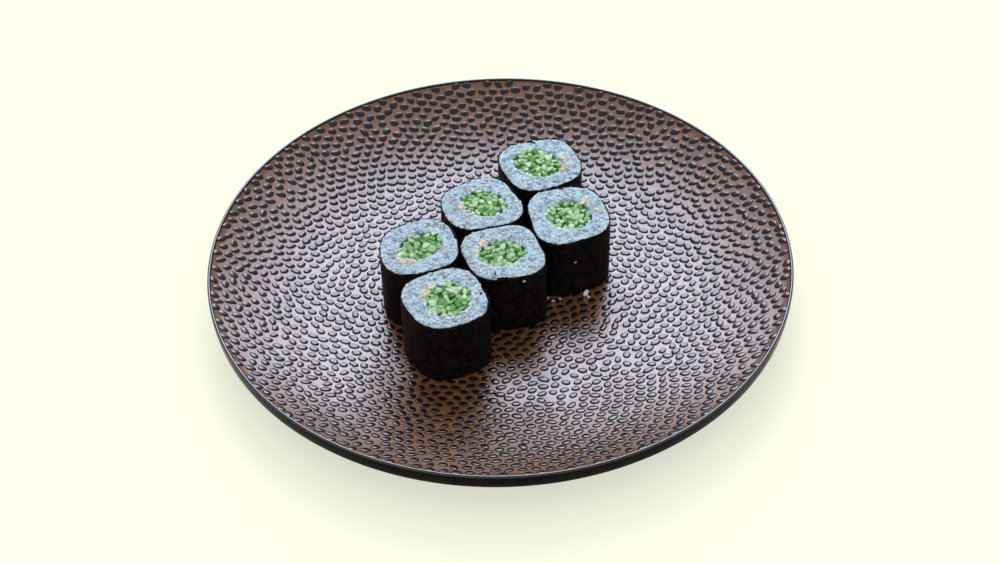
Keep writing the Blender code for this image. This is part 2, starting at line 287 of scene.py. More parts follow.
def copies_of(bm, name, count):
    """A mesh that holds the shape so many times over, in one place, made by an Array."""
    single = bpy.data.objects.new(name, mesh_from(bm, name))
    bpy.context.scene.collection.objects.link(single)
    array = single.modifiers.new("copies", "ARRAY")
    array.count = count
    array.use_relative_offset = False
    bpy.context.view_layer.update()
    graph = bpy.context.evaluated_depsgraph_get()
    many = bpy.data.meshes.new_from_object(single.evaluated_get(graph))
    bpy.data.meshes.remove(single.data)
    many.name = name
    return many


def points_of(mesh):
    """Where the mesh's vertices are, one row each."""
    flat = np.empty(len(mesh.vertices) * 3, np.float32)
    mesh.vertices.foreach_get("co", flat)
    return flat.reshape(-1, 3).astype(float)


def move_points(mesh, points):
    """Puts the mesh's vertices where the rows say."""
    mesh.vertices.foreach_set("co", points.reshape(-1).astype(np.float32))
    mesh.update()


def keep_values(mesh, name, values):
    """Stores one number for each vertex, for a material to read."""
    kept = mesh.attributes.new(name, "FLOAT", "POINT")
    kept.data.foreach_set("value", values.astype(np.float32).ravel())


def roughly(points, size, seed):
    """Smooth noise from -1 to 1 at each point, in lumps about as far apart as size."""
    start = Vector((seed, seed, seed))
    return np.array([noise.noise(Vector(point) / size + start) for point in points])


def add_piece(name, mesh, surfaces, replaced=()):
    """Makes the mesh a piece that rides with the plate."""
    for surface in surfaces:
        mesh.materials.append(surface)
    mesh.shade_smooth()
    piece = bpy.data.objects.new(name, mesh)
    bpy.context.scene.collection.objects.link(piece)
    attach(piece, "root")
    if replaced:
        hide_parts(*replaced)
    return piece


# Materials


def add_node(tree, kind, feeds=None, out=0, **settings):
    """Adds a shader node with its settings and links, and gives back the output asked for.

    feeds goes into its inputs: another node's output, a colour, a vector or a number.
    """
    made = tree.nodes.new("ShaderNode" + kind)
    for name, value in settings.items():
        setattr(made, name, value)
    for name, source in (feeds or {}).items():
        socket = made.inputs[name]
        if isinstance(source, bpy.types.NodeSocket):
            tree.links.new(source, socket)
        elif socket.type == "RGBA":
            socket.default_value = (*source, 1.0)
        else:
            socket.default_value = source
    return made.outputs[out] if made.outputs else None


def new_material(name):
    """A material, its node tree, and the place on the piece, which its patterns start from."""
    made = bpy.data.materials.new(name)
    made.use_nodes = True
    tree = made.node_tree
    tree.nodes.clear()
    return made, tree, add_node(tree, "TexCoord", out="Object")


def pebble_glaze(looks, name, ior):
    """Brown stoneware glaze, dipped and fired: honey and satin where it pooled, near black and
    glossy where it ran thin over the pebbles, so each pebble stands out dark on a warm ground."""
    made, tree, place = new_material(name)
    rise = add_node(tree, "Attribute", out="Fac", attribute_name="rise")
    pools = add_node(tree, "TexNoise", {"Vector": place, "Scale": 1 / (9 * MM)})
    pools = add_node(tree, "MapRange", {"Value": pools, "From Min": 0.35, "From Max": 0.65})
    ground = add_node(
        tree, "Mix", {0: pools, 6: looks.honey, 7: looks.honey_deep}, 2, data_type="RGBA")
    broken = add_node(tree, "MapRange", {"Value": rise, "From Min": 0.02, "From Max": 0.3})
    colour = add_node(tree, "Mix", {0: broken, 6: ground, 7: looks.chocolate}, 2, data_type="RGBA")
    smear = add_node(tree, "TexNoise", {"Vector": place, "Scale": 1 / (4 * MM)})
    gloss = add_node(tree, "MapRange", {
        "Value": smear, "From Min": 0.3, "From Max": 0.7, "To Min": 0.26, "To Max": 0.34})
    gloss = add_node(tree, "Mix", {0: broken, 2: gloss, 3: 0.17}, data_type="FLOAT")
    ripple = add_node(tree, "TexNoise", {"Vector": place, "Scale": 1 / (1.6 * MM), "Detail": 3.0})
    bump = add_node(tree, "Bump", {"Height": ripple, "Distance": 0.05 * MM})
    shader = add_node(tree, "BsdfPrincipled", {
        "Base Color": colour, "Roughness": gloss, "IOR": ior, "Normal": bump})
    add_node(tree, "OutputMaterial", {"Surface": shader})
    return made


def lip_glaze(looks, name, ior, level):
    """The same stoneware under a thicker iron-black glaze: near black, with brown where it ran
    thin. It shines on the lip, and drinks in the light on the outside."""
    made, tree, place = new_material(name)
    thin = add_node(tree, "TexNoise", {"Vector": place, "Scale": 1 / (6 * MM)})
    thin = add_node(tree, "MapRange", {"Value": thin, "From Min": 0.4, "From Max": 0.8})
    colour = add_node(tree, "Mix", {0: thin, 6: looks.lip, 7: looks.chocolate}, 2, data_type="RGBA")
    smear = add_node(tree, "TexNoise", {"Vector": place, "Scale": 1 / (3 * MM)})
    gloss = add_node(tree, "MapRange", {
        "Value": smear, "From Min": 0.3, "From Max": 0.7, "To Min": 0.12, "To Max": 0.22})
    bump = add_node(tree, "Bump", {"Height": smear, "Distance": 0.03 * MM})
    shader = add_node(tree, "BsdfPrincipled", {
        "Base Color": colour, "Roughness": gloss, "IOR": ior, "Specular IOR Level": level,
        "Normal": bump})
    add_node(tree, "OutputMaterial", {"Surface": shader})
    return made


def foot_clay(looks):
    """Bare stoneware, wiped clean of glaze before firing: matt, with a grit that is drawn a
    little coarse, so that it shows."""
    made, tree, place = new_material("bare_stoneware")
    grit = add_node(tree, "TexNoise", {"Vector": place, "Scale": 1 / (0.5 * MM), "Detail": 4.0})
    dark = add_node(tree, "MapRange", {"Value": grit, "From Min": 0.35, "From Max": 0.7})
    colour = add_node(tree, "Mix", {0: dark, 6: looks.clay, 7: looks.clay_grit}, 2, data_type="RGBA")
    bump = add_node(tree, "Bump", {"Height": grit, "Distance": 0.06 * MM})
    shader = add_node(
        tree, "BsdfPrincipled", {"Base Color": colour, "Roughness": 0.85, "Normal": bump})
    add_node(tree, "OutputMaterial", {"Surface": shader})
    return made


def nori_sheet(looks):
    """Roasted seaweed pressed in a thin sheet: near black with a brown cast, and a finely pitted face
    that takes a dull, broken sheen. Pale specks on the pits are painted highlights, glints painted
    into the colour. The pits are drawn three times too coarse, to show."""
    made, tree, place = new_material("roasted_nori")
    upright = add_node(tree, "Mapping", {"Vector": place, "Scale": (1.0, 1.0, 0.6)})
    cast = add_node(tree, "TexNoise", {"Vector": upright, "Scale": 1 / (2.5 * MM), "Detail": 4.0})
    cast = add_node(tree, "MapRange", {"Value": cast, "From Min": 0.42, "From Max": 0.7})
    colour = add_node(tree, "Mix", {0: cast, 6: looks.nori, 7: looks.nori_brown}, 2, data_type="RGBA")
    pits = add_node(tree, "TexNoise", {"Vector": place, "Scale": 1 / (0.8 * MM), "Detail": 4.0})
    # Painted highlights: where the pits rise highest, pale glints are painted into the colour
    painted_glints = add_node(tree, "MapRange", {"Value": pits, "From Min": 0.55, "From Max": 0.68})
    colour = add_node(tree, "Mix", {0: painted_glints, 6: colour, 7: looks.nori_painted_glint}, 2, data_type="RGBA")
    gloss = add_node(tree, "MapRange", {
        "Value": pits, "From Min": 0.35, "From Max": 0.7, "To Min": 0.3, "To Max": 0.55})
    bump = add_node(tree, "Bump", {"Height": pits, "Distance": 0.25 * MM})
    shader = add_node(tree, "BsdfPrincipled", {
        "Base Color": colour, "Roughness": gloss, "Specular IOR Level": 0.1, "Normal": bump})
    add_node(tree, "OutputMaterial", {"Surface": shader})
    return made


def cooked_rice(looks, name, wet):
    """Short-grain rice, steamed and dressed: a milky white that light enters, under a moist film.
    The film and the starch on it are drawn coarser than they are, so that they show."""
    made, tree, place = new_material(name)
    tint = add_node(tree, "Attribute", out="Fac", attribute_name="tint")
    milk = add_node(tree, "TexNoise", {"Vector": place, "Scale": 1 / (1.5 * MM)})
    cloud = add_node(tree, "Math", {0: tint, 1: milk}, operation="ADD")
    cloud = add_node(tree, "MapRange", {"Value": cloud, "From Min": 0.4, "From Max": 1.3})
    colour = add_node(
        tree, "Mix", {0: cloud, 6: looks.rice, 7: looks.rice_bright}, 2, data_type="RGBA")
    film = add_node(tree, "TexNoise", {"Vector": place, "Scale": 1 / (0.8 * MM)})
    gloss = add_node(tree, "MapRange", {
        "Value": film, "From Min": 0.3, "From Max": 0.7, "To Min": wet, "To Max": wet + 0.2})
    starch = add_node(tree, "TexNoise", {"Vector": place, "Scale": 1 / (0.6 * MM), "Detail": 3.0})
    bump = add_node(tree, "Bump", {"Height": starch, "Distance": 0.015 * MM})
    shader = add_node(tree, "BsdfPrincipled", {
        "Base Color": colour, "Roughness": gloss, "IOR": 1.4, "Normal": bump,
        "Subsurface Weight": 0.8, "Subsurface Radius": (1.0, 0.95, 0.9),
        "Subsurface Scale": 2.6 * MM})
    add_node(tree, "OutputMaterial", {"Surface": shader})
    return made


def cut_cucumber(looks):
    """Cucumber cut in thin strips: wet, pale and translucent inside, with dark green peel down one
    side. The same dark green is painted on the strips' lower parts and on the core under them, as
    painted shade in the gaps between the strips. Its cells are drawn coarse, so that they show."""
    made, tree, place = new_material("cut_cucumber")
    tone = add_node(tree, "Attribute", out="Fac", attribute_name="tone")
    skin = add_node(tree, "Attribute", out="Fac", attribute_name="skin")
    pulp = add_node(tree, "TexNoise", {"Vector": place, "Scale": 1 / (0.8 * MM), "Detail": 3.0})
    mottle = add_node(tree, "Math", {0: tone, 1: pulp}, operation="ADD")
    mottle = add_node(tree, "MapRange", {"Value": mottle, "From Min": 0.35, "From Max": 1.35})
    flesh = add_node(
        tree, "Mix", {0: mottle, 6: looks.flesh_pale, 7: looks.flesh_green}, 2, data_type="RGBA")
    # This mask holds the real peel down one side and the painted shade in the gaps between strips
    colour = add_node(tree, "Mix", {0: skin, 6: flesh, 7: looks.skin}, 2, data_type="RGBA")
    gloss = add_node(tree, "MapRange", {
        "Value": pulp, "From Min": 0.3, "From Max": 0.7, "To Min": 0.25, "To Max": 0.5})
    cells = add_node(tree, "TexNoise", {"Vector": place, "Scale": 1 / (0.4 * MM), "Detail": 3.0})
    bump = add_node(tree, "Bump", {"Height": cells, "Distance": 0.08 * MM})
    shader = add_node(tree, "BsdfPrincipled", {
        "Base Color": colour, "Roughness": gloss, "IOR": 1.38, "Normal": bump,
        "Subsurface Weight": 0.5, "Subsurface Radius": (0.6, 1.0, 0.5),
        "Subsurface Scale": 1.0 * MM})
    add_node(tree, "OutputMaterial", {"Surface": shader})
    return made


def hulled_sesame(looks):
    """Hulled sesame seeds, some toasted: satin, cream to light tan, with a coarse-drawn hull."""
    made, tree, place = new_material("hulled_sesame")
    tone = add_node(tree, "Attribute", out="Fac", attribute_name="tone")
    colour = add_node(
        tree, "Mix", {0: tone, 6: looks.sesame, 7: looks.sesame_toasted}, 2, data_type="RGBA")
    hull = add_node(tree, "TexNoise", {"Vector": place, "Scale": 1 / (0.4 * MM)})
    bump = add_node(tree, "Bump", {"Height": hull, "Distance": 0.03 * MM})
    shader = add_node(tree, "BsdfPrincipled", {
        "Base Color": colour, "Roughness": 0.5, "IOR": 1.45, "Normal": bump,
        "Subsurface Weight": 0.4, "Subsurface Scale": 0.8 * MM})
    add_node(tree, "OutputMaterial", {"Surface": shader})
    return made


def studio_floor(looks):
    """Plain matt paper, lit a little from below, with the faintest mottle."""
    made, tree, place = new_material("pale_paper_floor")
    mottle = add_node(tree, "TexNoise", {"Vector": place, "Scale": 1 / (30 * MM)})
    colour = add_node(
        tree, "Mix", {0: mottle, 6: looks.paper, 7: looks.paper_fleck}, 2, data_type="RGBA")
    shader = add_node(tree, "BsdfPrincipled", {
        "Base Color": colour, "Roughness": 0.9, "Specular IOR Level": 0.0,
        "Emission Color": looks.floor, "Emission Strength": 0.62})
    add_node(tree, "OutputMaterial", {"Surface": shader})
    return made


# The plate


def well_height(radius):
    """Height of the solid's upper face, which the pebbles' tops keep to."""
    along = np.clip(np.asarray(radius) - WELL_FLAT_RADIUS, 0.0, None)
    along = along / (LIP_INSIDE - WELL_FLAT_RADIUS)
    return WELL_HEIGHT + (LIP_HEIGHT - LIP_DROP - WELL_HEIGHT) * along ** WELL_CURVE


def underside_height(radius):
    """Height of the lower face outside the foot."""
    along = (radius - FOOT_RADIUS) / (PLATE_RADIUS - EDGE_TAPER - FOOT_RADIUS)
    return FOOT_HEIGHT + (LIP_HEIGHT - EDGE_HEIGHT - FOOT_HEIGHT) * along ** UNDERSIDE_CURVE


def plate_section(valley_depth):
    """Radius and height of the plate's section, from the middle of the well round to the recess."""
    bead = LIP_WIDTH / 2
    well = spread(0.0, LIP_INSIDE - 0.1 * MM, 44)
    section = [(radius, float(well_height(radius)) - valley_depth) for radius in well]
    section += arc((PLATE_RADIUS - bead, LIP_HEIGHT - bead), bead, 200, 0, 12)
    start = Vector((PLATE_RADIUS, LIP_HEIGHT - bead))
    pull = Vector((PLATE_RADIUS, LIP_HEIGHT - EDGE_HEIGHT + EDGE_PULL))
    end = Vector((PLATE_RADIUS - EDGE_TAPER, LIP_HEIGHT - EDGE_HEIGHT))
    for share in spread(0.0, 1.0, 9)[1:]:
        section.append(tuple(start.lerp(pull, share).lerp(pull.lerp(end, share), share)))
    under = spread(PLATE_RADIUS - EDGE_TAPER, FOOT_RADIUS + FOOT_FILLET, 26)[1:]
    section += [(radius, underside_height(radius)) for radius in under]
    foot_inside = FOOT_RADIUS - FOOT_WIDTH
    section += arc((FOOT_RADIUS - FOOT_FILLET, FOOT_FILLET), FOOT_FILLET, 0, -90, 5)
    section += arc((foot_inside + FOOT_FILLET, FOOT_FILLET), FOOT_FILLET, 270, 180, 5)
    recess = (foot_inside - 0.4 * MM, foot_inside * 0.5, 0.0)
    return section + [(radius, RECESS_HEIGHT) for radius in recess]


def valley_depth(looks):
    """How far the glaze between the pebbles lies under their tops."""
    return looks.pebble_rise * 0.9


class MAKI_OT_make_plate(bpy.types.Operator):
    """Spin the plate's section, and glaze its well, its outside and its foot"""

    bl_idname = "maki.make_plate"
    bl_label = "Make the plate"

    def execute(self, context):
        looks = context.scene.maki_plate
        bm = turned(plate_section(valley_depth(looks)), 192)
        well, outside, foot, lip = range(4)
        for face in bm.faces:
            middle = face.calc_center_median()
            steep = face.normal.z < 0.3 and middle.xy.length > FOOT_RADIUS
            if middle.z < SEAT_HEIGHT:
                face.material_index = foot
            elif steep or face.normal.z < 0.0:
                face.material_index = outside
            elif middle.xy.length > LIP_INSIDE:
                face.material_index = lip
            else:
                face.material_index = well
        surfaces = [
            pebble_glaze(looks, "pooled_honey_glaze", POOLED_GLAZE_IOR),
            lip_glaze(looks, "iron_black_outside", PLAIN_GLAZE_IOR, 0.03),
            foot_clay(looks),
            lip_glaze(looks, "iron_black_lip", POOLED_GLAZE_IOR, 0.5),
        ]
        add_piece("glazed_plate", mesh_from(bm, "glazed_plate"), surfaces, ["plate"])
        return {"FINISHED"}


def scatter_pebbles(count, reach, draw):
    """Places over the well: a sunflower's spiral, shaken and then eased apart."""
    shake, crowding, give, rounds = 1.5 * MM, 1.1, 0.35, 16
    number = np.arange(count)
    radius = reach * np.sqrt((number + 0.5) / count)
    turn = number * GOLDEN_ANGLE
    places = radius[:, None] * np.stack([np.cos(turn), np.sin(turn)], 1)
    places += draw.uniform(-1.0, 1.0, places.shape) * shake
    spacing = math.sqrt(math.pi * reach ** 2 / count) * crowding
    # Pebbles lie further apart across the plate than up and down it, since they lie across it
    squeeze = np.array([0.89, 1.12])

    def gaps():
        between = (places[:, None] - places[None]) * squeeze
        distance = np.linalg.norm(between, axis=2)
        np.fill_diagonal(distance, np.inf)
        return between, distance

    for _ in range(rounds):
        between, distance = gaps()
        push = np.clip(1.0 - distance / spacing, 0.0, None) / distance
        places += (between * push[..., None]).sum(1) * spacing * give / squeeze
        places *= np.minimum(1.0, reach / np.linalg.norm(places, axis=1))[:, None]
    return places, gaps()[1].min(1)


class MAKI_OT_make_pebbles(bpy.types.Operator):
    """Cover the plate's well with raised pebbles, each its own size, turn and bend"""

    bl_idname = "maki.make_pebbles"
    bl_label = "Make the pebbles"

    def execute(self, context):
        looks = context.scene.maki_plate
        draw = np.random.default_rng(11)
        count = looks.pebbles
        # A low dome with a broad top and a flared foot that ends inside the plate
        dome = [(0.0, 1.0), (0.6, 0.95), (0.8, 0.8), (0.92, 0.42), (1.03, -0.1), (0.0, -0.3)]
        mesh = copies_of(turned(dome, 9), "pebbles", count)
        local = points_of(mesh).reshape(count, -1, 3)
        places, room = scatter_pebbles(count, LIP_INSIDE - 1.0 * MM, draw)
        longer = looks.pebble_longest - looks.pebble_shortest
        half = looks.pebble_shortest + longer * draw.beta(1.5, 1.7, count)
        # Each takes up a fair share of the room to its nearest neighbour, and leaves it some
        half = np.clip(half, room * 0.47, room * 0.62)[:, None]
        width = np.minimum(half * 0.88, draw.uniform(1.15, 1.5, (count, 1)) * MM)
        bend = draw.uniform(-0.35, 0.35, (count, 1))
        taper = draw.uniform(-0.2, 0.2, (count, 1))
        # They tend to lie across the plate, and a little along its rim
        along_rim = -np.arctan(places[:, :1] / places[:, 1:])
        turn = along_rim * 0.4 + np.radians(draw.normal(0.0, 24.0, (count, 1)))
        x = local[..., 0] * half
        y = local[..., 1] * width * (1.0 + taper * local[..., 0])
        y += bend * width * (local[..., 0] ** 2 - 0.4) * (half / width - 1.0)
        points = np.empty_like(local)
        points[..., 0] = places[:, :1] + x * np.cos(turn) - y * np.sin(turn)
        points[..., 1] = places[:, 1:] + x * np.sin(turn) + y * np.cos(turn)
        out = np.hypot(points[..., 0], points[..., 1])
        limit = LIP_INSIDE + 0.3 * MM
        points[..., :2] *= np.minimum(1.0, limit / out)[..., None]
        rise = looks.pebble_rise * draw.uniform(0.9, 1.08, (count, 1))
        ground = well_height(np.minimum(out, LIP_INSIDE)) - valley_depth(looks)
        points[..., 2] = ground + local[..., 2] * rise
        move_points(mesh, points)
        keep_values(mesh, "rise", np.clip(local[..., 2], 0.0, 1.0))
        surface = pebble_glaze(looks, "broken_chocolate_glaze", BROKEN_GLAZE_IOR)
        add_piece("plate_pebbles", mesh, [surface])
        return {"FINISHED"}


# The rolls


def swelling(amount_and_direction, times, angle):
    """How far an outline swells at an angle, when it does so `times` times a turn."""
    amount, direction = amount_and_direction
    return amount * np.cos(times * (angle - math.radians(direction)))


def roll_radius(roll, angle):
    """From a roll's middle to the outside of its nori."""
    return (
        roll.radius + swelling(roll.oval, 2, angle)
        + swelling(roll.egg, 3, angle) + swelling(roll.square, 4, angle)
    )


def nori_tuck(turn):
    """How far the sheet lies in from the roll's outline, `turn` degrees on from its inner end."""
    return (NORI_THICKNESS + NORI_PLY_GAP) * (1.0 - smooth_step((turn - NORI_OVERLAP) / NORI_RISE))


def rice_radius(roll, angle):
    """From a roll's middle to the outside of its rice, clear of both plies of the nori."""
    turn = (np.degrees(angle) - (roll.seam - NORI_OVERLAP)) % 360.0
    # The rice draws in over 10 degrees, and is in by 5 degrees before the nori's inner end
    before_the_end = smooth_step((turn - 345.0) / 10.0)
    tuck = np.maximum(nori_tuck(turn), nori_tuck(0.0) * before_the_end)
    return roll_radius(roll, angle) - NORI_THICKNESS - RICE_CLEARANCE - tuck


def filling_radius(roll, angle):
    """From the middle of the filling to its outline."""
    return roll.filling.radius + swelling(roll.filling.oval, 2, angle)


def from_filling(roll, places):
    """How far each place, from the roll's middle, lies outside the filling's outline."""
    inner = places - np.array(roll.filling.offset)
    angle = np.arctan2(inner[..., 1], inner[..., 0])
    return np.hypot(inner[..., 0], inner[..., 1]) - filling_radius(roll, angle)


def from_nori(roll, places):
    """How far each place, from the roll's middle, lies inside the nori."""
    angle = np.arctan2(places[..., 1], places[..., 0])
    return rice_radius(roll, angle) - np.hypot(places[..., 0], places[..., 1])


def wrap_nori(roll, number):
    """The sheet from its inner end, which runs into the rice, once round and on over itself."""
    bm = bmesh.new()
    around, upright = 200, 22
    bmesh.ops.create_grid(bm, x_segments=around, y_segments=upright, size=1.0)
    mesh = mesh_from(bm, f"nori_wrap_{roll.name}")
    grid = points_of(mesh)
    # The last degrees of the inner end, which run into the rice
    tongue = 11.0
    first = NORI_OVERLAP - tongue
    turn = first + (grid[:, 0] + 1.0) / 2.0 * (360.0 + tongue)
    level = (grid[:, 1] + 1.0) / 2.0
    angle = np.radians(roll.seam - NORI_OVERLAP + turn)
    into_rice = roll.dive * np.clip(1.0 - (turn - first) / tongue, 0.0, 1.0) ** 1.3
    outside = roll_radius(roll, angle) - nori_tuck(turn) - into_rice
    # Places on the sheet laid flat, each sheet in a layer of noise of its own
    layer = np.full_like(level, number * 0.1)
    flat = np.stack([angle * roll.radius, level * ROLL_HEIGHT, layer], 1)
    creases = roughly(flat * (1.0, 0.3, 1.0), 2.2 * MM, 3.1)
    ripples = roughly(flat, 1.1 * MM, 7.7)
    outside += creases * 0.16 * MM + ripples * 0.07 * MM
    ragged = roughly(flat * (1.0, 0.0, 1.0), 0.9 * MM, 5.3) * 0.45 * MM
    wavy = roughly(flat * (1.0, 0.0, 1.0), 4.0 * MM, 9.1) * 0.2 * MM
    foot = ROLL_FLOOR - 0.15 * MM
    # The inner end stands up out of the rice, where the knife dragged it
    dragged = 0.5 * MM * smooth_step(1.0 - (turn - first) / tongue)
    top = ROLL_TOP - 0.08 * MM + ragged + wavy + dragged
    points = np.stack([
        roll.place[0] + outside * np.cos(angle),
        roll.place[1] + outside * np.sin(angle),
        foot + (top - foot) * level,
    ], 1)
    move_points(mesh, points)
    return mesh


class MAKI_OT_make_nori(bpy.types.Operator):
    """Wrap each roll in its own sheet of nori"""

    bl_idname = "maki.make_nori"
    bl_label = "Make the nori"

    def execute(self, context):
        surface = nori_sheet(context.scene.maki_rolls)
        for number, roll in enumerate(ROLLS):
            mesh = wrap_nori(roll, number)
            piece = add_piece(mesh.name, mesh, [surface], [f"nori_{roll.name}"])
            wall = piece.modifiers.new("thickness", "SOLIDIFY")
            # Thinner than its solid, as the real sheet is
            wall.thickness = 0.25 * MM
            wall.offset = -1.0
        return {"FINISHED"}


def rice_bed(roll, number):
    """The body of rice behind the grains, from the filling out to the nori."""
    # In the section a radius of 1 stands for the filling's outline, and 2 for the nori
    top, shoulder = ROLL_TOP - 0.14 * MM, ROLL_TOP - 4.0 * MM
    section = [(1.0, ROLL_FLOOR), (1.0, shoulder)]
    section += [(1.0 + share, top) for share in spread(0.0, 1.0, 16)]
    section += [(2.0, shoulder), (2.0, ROLL_FLOOR)]
    mesh = mesh_from(turned(section, 128, closed=True), f"rice_bed_{roll.name}")
    points = points_of(mesh)
    angle = np.arctan2(points[:, 1], points[:, 0])
    share = np.hypot(points[:, 0], points[:, 1])[:, None] - 1.0
    way = np.stack([np.cos(angle), np.sin(angle)], 1)
    inner = np.array(roll.filling.offset) + way * (filling_radius(roll, angle) + 0.1 * MM)[:, None]
    outer = way * rice_radius(roll, angle)[:, None]
    points[:, :2] = np.array(roll.place) + inner * (1.0 - share) + outer * share
    lumps = roughly(points, 1.6 * MM, 2.0 + number) * 0.12 * MM
    points[:, 2] += np.where(points[:, 2] > top - MM, lumps, 0.0)
    move_points(mesh, points)
    return mesh


def lay_grains(roll, count, draw):
    """Places of the grains on one cut end: each draw of candidates keeps the loneliest."""
    places = np.empty((0, 2))
    drawn, kept = 400, 18
    while len(places) < count:
        tries = draw.uniform(-1.0, 1.0, (drawn, 2)) * roll.radius * 1.1
        fits = (from_nori(roll, tries) > 0.3 * MM) & (from_filling(roll, tries) > 0.35 * MM)
        tries = tries[fits][:kept]
        if len(places):
            lonely = np.linalg.norm(tries[:, None] - places[None], axis=2).min(1)
            tries = tries[lonely.argmax()][None]
        places = np.concatenate([places, tries[:1]])
    return places


def axes_of(lean, turn):
    """Three unit vectors for each grain: along it, across it, and the third."""
    along = np.stack([np.cos(lean) * np.cos(turn), np.cos(lean) * np.sin(turn), np.sin(lean)], -1)
    across = np.stack([-np.sin(turn), np.cos(turn), np.zeros_like(turn)], -1)
    return along, across, np.cross(along, across)


def lay_along(axes, *shares):
    """Points that lie so far along each of their shape's three axes."""
    return sum(axis[:, None] * share[..., None] for axis, share in zip(axes, shares))


class MAKI_OT_make_rice(bpy.types.Operator):
    """Fill each roll with rice, and press whole and cut grains into its cut end"""

    bl_idname = "maki.make_rice"
    bl_label = "Make the rice"

    def execute(self, context):
        looks = context.scene.maki_rolls
        bed_rice = cooked_rice(looks, "packed_rice", 0.5)
        for number, roll in enumerate(ROLLS):
            mesh = rice_bed(roll, number)
            add_piece(mesh.name, mesh, [bed_rice], [f"rice_{roll.name}"])
        draw = np.random.default_rng(23)
        total = looks.grains * len(ROLLS)
        grain = bmesh.new()
        bmesh.ops.create_uvsphere(grain, u_segments=10, v_segments=6, radius=0.5)
        mesh = copies_of(grain, "rice_grains", total)
        local = points_of(mesh).reshape(len(ROLLS), looks.grains, -1, 3)
        points = np.empty_like(local)
        for number, roll in enumerate(ROLLS):
            count = looks.grains
            lean = np.radians(draw.normal(0.0, 32.0, count))
            axes = axes_of(lean, draw.uniform(0.0, math.tau, count))
            length = looks.grain_length * draw.uniform(0.82, 1.12, count)[:, None]
            width = looks.grain_width * draw.uniform(0.88, 1.12, count)[:, None]
            x, y, z = (local[number, ..., axis] for axis in (2, 0, 1))
            bend = draw.uniform(-0.25, 0.25, count)[:, None]
            bent = y + bend * (4.0 * x * x - 0.5) * 0.5
            place = lay_along(axes, x * length, bent * width, z * width * 0.92)
            middle = lay_grains(roll, count, draw)
            place[..., :2] += middle[:, None]
            place[..., 2] += ROLL_TOP - draw.uniform(0.7, 1.0, count)[:, None] * MM
            # What a grain would push into the nori is pressed back, but some spill over its edge
            radius = np.hypot(place[..., 0], place[..., 1])
            angle = np.arctan2(place[..., 1], place[..., 0])
            spill = draw.uniform(-0.5, 0.55, count)[:, None].clip(0.0) * MM
            spill = spill * smooth_step((place[..., 2] - ROLL_TOP) / (0.3 * MM) + 1.0)
            allowed = rice_radius(roll, angle) - 0.02 * MM + spill
            place[..., :2] *= np.minimum(1.0, allowed / radius)[..., None]
            # The knife leaves a fifth of what stood over its cut
            cut = ROLL_TOP + draw.uniform(-0.1, 0.12, count)[:, None] * MM
            place[..., 2] = np.minimum(place[..., 2], cut + (place[..., 2] - cut) * 0.2)
            place[..., :2] += np.array(roll.place)
            points[number] = place
        move_points(mesh, points)
        keep_values(mesh, "tint", np.repeat(draw.uniform(0.0, 1.0, total), local.shape[2]))
        surface = cooked_rice(looks, "cooked_rice_grains", 0.38)
        nodes = [f"rice_{roll.name}" for roll in ROLLS]
        add_piece("rice_grains", mesh, [surface], nodes)
        return {"FINISHED"}


def cucumber_core(roll, number):
    """The body of the bundle, under the strips' ends, painted dark green all over as painted shade in
    the gaps between the strips.
    """
    top = ROLL_TOP - 2.0 * MM
    section = [(0.0, ROLL_FLOOR), (1.0, ROLL_FLOOR), (1.0, top)]
    section += [(1.0 - share, top) for share in spread(0.0, 1.0, 8)[1:]]
    mesh = mesh_from(turned(section, 48), f"cucumber_core_{roll.name}")
    points = points_of(mesh)
    angle = np.arctan2(points[:, 1], points[:, 0])
    reach = np.hypot(points[:, 0], points[:, 1]) * filling_radius(roll, angle)
    points[:, 0] = roll.place[0] + roll.filling.offset[0] + reach * np.cos(angle)
    points[:, 1] = roll.place[1] + roll.filling.offset[1] + reach * np.sin(angle)
    lumps = roughly(points, 1.6 * MM, 12.0 + number) * 0.3 * MM
    points[:, 2] += np.where(points[:, 2] > top - MM, lumps, 0.0)
    move_points(mesh, points)
    # Painted shade: the whole core is painted near the peel's dark green, to darken the gaps between
    # the strips
    keep_values(mesh, "skin", np.full(len(points), 0.9))
    return mesh


def lay_strips(roll, pitch, draw):
    """Places of the strips of one bundle: a shaken grid, as far as the filling's outline."""
    reach = math.ceil(roll.radius / pitch)
    column, row = np.meshgrid(np.arange(-reach, reach + 1), np.arange(-reach, reach + 1))
    grid = np.stack([column + 0.5 * (row % 2), row * 0.9], -1).reshape(-1, 2).astype(float)
    grid += draw.uniform(-0.35, 0.35, grid.shape)
    turn = draw.uniform(0.0, math.pi)
    spun = np.array([[math.cos(turn), -math.sin(turn)], [math.sin(turn), math.cos(turn)]])
    places = grid @ spun.T * pitch + np.array(roll.filling.offset)
    return places[from_filling(roll, places) < -0.15 * pitch]


